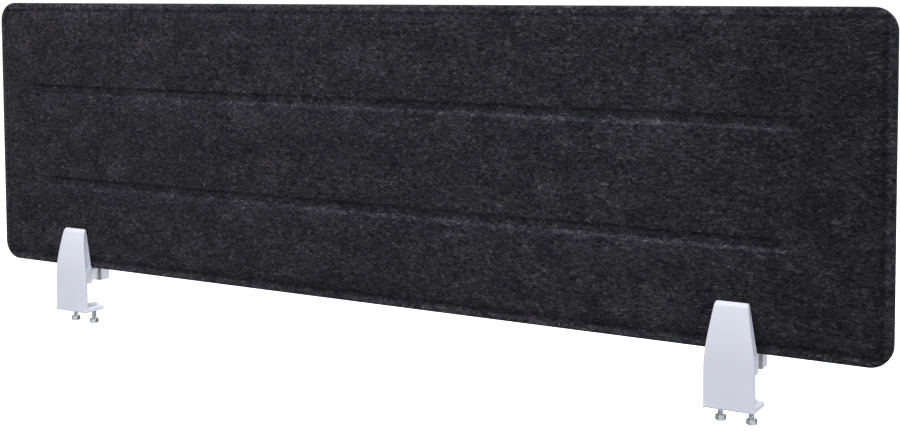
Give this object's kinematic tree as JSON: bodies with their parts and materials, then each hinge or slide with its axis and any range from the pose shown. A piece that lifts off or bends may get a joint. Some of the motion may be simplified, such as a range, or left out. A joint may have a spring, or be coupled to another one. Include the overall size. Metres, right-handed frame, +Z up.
{
  "type": "desk privacy panel",
  "caption": "Wide felt privacy panel with long shallow grooves, gripped at its lower edge by screw clamps that bolt to the edge of a desk top.",
  "frame": {"origin": "middle of the panel's length, on the line where the desk's edge face meets its top face", "axes": "+X along the panel, +Y from the desk's edge inwards over the desk top, +Z up"},
  "size_m": [1.2, 0.0465, 0.425],
  "materials": {
    "felt": "pressed felt, heathered charcoal",
    "core": "matt board",
    "powder_coat": "fine satin powder coat",
    "rubber": "matt",
    "zinc": "bright zinc plate",
    "cap": "smooth"
  },
  "bodies": {
    "panel": {"front_felt_shell": "felt", "rear_felt_shell": "felt", "core_board": "core"},
    "left_clamp": {"left_clamp_body": "powder_coat", "left_front_pad": "rubber"},
    "left_jaw": {"left_rear_jaw": "powder_coat", "left_rear_pad": "rubber"},
    "left_jaw_screw_outer": {"left_jaw_screw_outer": "zinc"},
    "left_jaw_screw_inner": {"left_jaw_screw_inner": "zinc"},
    "left_bolt_cap_outer": {"left_bolt_cap_outer": "cap"},
    "left_desk_bolt_outer": {"left_desk_bolt_outer": "zinc"},
    "left_bolt_cap_inner": {"left_bolt_cap_inner": "cap"},
    "left_desk_bolt_inner": {"left_desk_bolt_inner": "zinc"},
    "right_clamp": {"right_clamp_body": "powder_coat", "right_front_pad": "rubber"},
    "right_jaw": {"right_rear_jaw": "powder_coat", "right_rear_pad": "rubber"},
    "right_jaw_screw_outer": {"right_jaw_screw_outer": "zinc"},
    "right_jaw_screw_inner": {"right_jaw_screw_inner": "zinc"},
    "right_bolt_cap_outer": {"right_bolt_cap_outer": "cap"},
    "right_desk_bolt_outer": {"right_desk_bolt_outer": "zinc"},
    "right_bolt_cap_inner": {"right_bolt_cap_inner": "cap"},
    "right_desk_bolt_inner": {"right_desk_bolt_inner": "zinc"}
  },
  "joints": [
    {"name": "left_clamp_slide", "type": "slide", "parent": "panel", "child": "left_clamp", "axis": [1, 0, 0], "range_m": [-0.08, 0.42]},
    {"name": "left_jaw_slide", "type": "slide", "parent": "left_clamp", "child": "left_jaw", "axis": [0, 1, 0], "range_m": [0, 0.005]},
    {"name": "left_jaw_screw_outer_turn", "type": "hinge", "parent": "left_jaw", "child": "left_jaw_screw_outer", "pos_m": [-0.478, 0.03, 0.012], "axis": [0, 1, 0], "range_deg": [0, 2250]},
    {"name": "left_jaw_screw_inner_turn", "type": "hinge", "parent": "left_jaw", "child": "left_jaw_screw_inner", "pos_m": [-0.448, 0.03, 0.012], "axis": [0, 1, 0], "range_deg": [0, 2250]},
    {"name": "left_bolt_outer_lift", "type": "slide", "parent": "left_clamp", "child": "left_bolt_cap_outer", "axis": [0, 0, 1], "range_m": [0, 0.012]},
    {"name": "left_bolt_outer_turn", "type": "hinge", "parent": "left_bolt_cap_outer", "child": "left_desk_bolt_outer", "pos_m": [-0.4795, 0.0215, -0.045], "axis": [0, 0, 1], "range_deg": [0, 4320]},
    {"name": "left_bolt_inner_lift", "type": "slide", "parent": "left_clamp", "child": "left_bolt_cap_inner", "axis": [0, 0, 1], "range_m": [0, 0.012]},
    {"name": "left_bolt_inner_turn", "type": "hinge", "parent": "left_bolt_cap_inner", "child": "left_desk_bolt_inner", "pos_m": [-0.4465, 0.0215, -0.045], "axis": [0, 0, 1], "range_deg": [0, 4320]},
    {"name": "right_clamp_slide", "type": "slide", "parent": "panel", "child": "right_clamp", "axis": [1, 0, 0], "range_m": [-0.395, 0.105]},
    {"name": "right_jaw_slide", "type": "slide", "parent": "right_clamp", "child": "right_jaw", "axis": [0, 1, 0], "range_m": [0, 0.005]},
    {"name": "right_jaw_screw_outer_turn", "type": "hinge", "parent": "right_jaw", "child": "right_jaw_screw_outer", "pos_m": [0.4565, 0.03, 0.012], "axis": [0, 1, 0], "range_deg": [0, 2250]},
    {"name": "right_jaw_screw_inner_turn", "type": "hinge", "parent": "right_jaw", "child": "right_jaw_screw_inner", "pos_m": [0.4265, 0.03, 0.012], "axis": [0, 1, 0], "range_deg": [0, 2250]},
    {"name": "right_bolt_outer_lift", "type": "slide", "parent": "right_clamp", "child": "right_bolt_cap_outer", "axis": [0, 0, 1], "range_m": [0, 0.012]},
    {"name": "right_bolt_outer_turn", "type": "hinge", "parent": "right_bolt_cap_outer", "child": "right_desk_bolt_outer", "pos_m": [0.458, 0.0215, -0.045], "axis": [0, 0, 1], "range_deg": [0, 4320]},
    {"name": "right_bolt_inner_lift", "type": "slide", "parent": "right_clamp", "child": "right_bolt_cap_inner", "axis": [0, 0, 1], "range_m": [0, 0.012]},
    {"name": "right_bolt_inner_turn", "type": "hinge", "parent": "right_bolt_cap_inner", "child": "right_desk_bolt_inner", "pos_m": [0.425, 0.0215, -0.045], "axis": [0, 0, 1], "range_deg": [0, 4320]}
  ],
  "couplings": [
    {"joint": "left_jaw_screw_outer_turn", "follows": "left_jaw_slide", "rad_per_m": 7853.9},
    {"joint": "left_jaw_screw_inner_turn", "follows": "left_jaw_slide", "rad_per_m": 7853.9},
    {"joint": "left_bolt_outer_turn", "follows": "left_bolt_outer_lift", "rad_per_m": 6283.2},
    {"joint": "left_bolt_inner_turn", "follows": "left_bolt_inner_lift", "rad_per_m": 6283.2},
    {"joint": "right_jaw_screw_outer_turn", "follows": "right_jaw_slide", "rad_per_m": 7853.9},
    {"joint": "right_jaw_screw_inner_turn", "follows": "right_jaw_slide", "rad_per_m": 7853.9},
    {"joint": "right_bolt_outer_turn", "follows": "right_bolt_outer_lift", "rad_per_m": 6283.2},
    {"joint": "right_bolt_inner_turn", "follows": "right_bolt_inner_lift", "rad_per_m": 6283.2}
  ]
}
